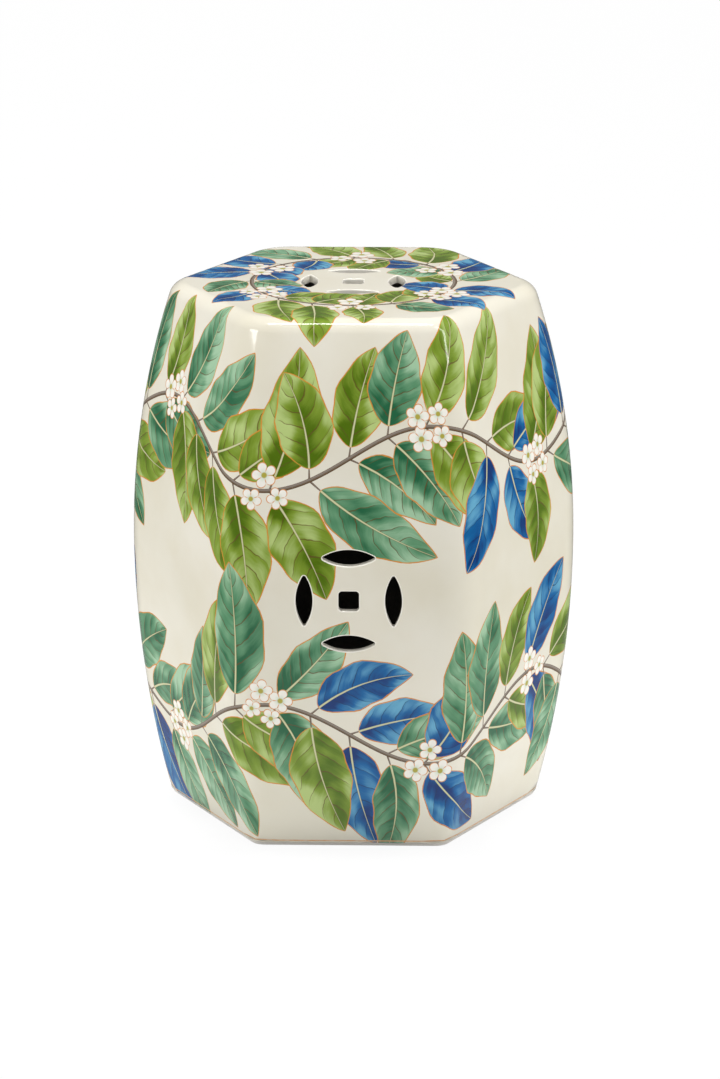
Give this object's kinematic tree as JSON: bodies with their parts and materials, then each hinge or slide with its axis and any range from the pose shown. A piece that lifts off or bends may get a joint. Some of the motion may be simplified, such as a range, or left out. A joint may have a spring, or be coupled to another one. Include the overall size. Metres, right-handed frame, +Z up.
{
  "type": "garden stool",
  "caption": "Hexagonal barrel-shaped garden stool of glazed ceramic with coin piercings in the walls and seat, hollow and open underneath.",
  "frame": {"origin": "under the middle of the foot, on the surface that the stool stands on", "axes": "+Z up; -Y out of the pierced front wall; +X to the right when facing the front wall"},
  "size_m": [0.3776, 0.339, 0.457],
  "materials": {
    "ivory_glaze": "glossy painted glaze",
    "bare_clay": "unglazed fired clay"
  },
  "bodies": {
    "root": {"seat": "ivory_glaze", "wall_front": "ivory_glaze", "wall_front_right": "ivory_glaze", "wall_back_right": "ivory_glaze", "wall_back": "ivory_glaze", "wall_back_left": "ivory_glaze", "wall_front_left": "ivory_glaze", "foot_ring": "bare_clay", "shoulder_coil": "bare_clay", "corner_coil_front_right": "bare_clay", "corner_coil_right": "bare_clay", "corner_coil_back_right": "bare_clay", "corner_coil_back_left": "bare_clay", "corner_coil_left": "bare_clay", "corner_coil_front_left": "bare_clay"}
  },
  "joints": []
}
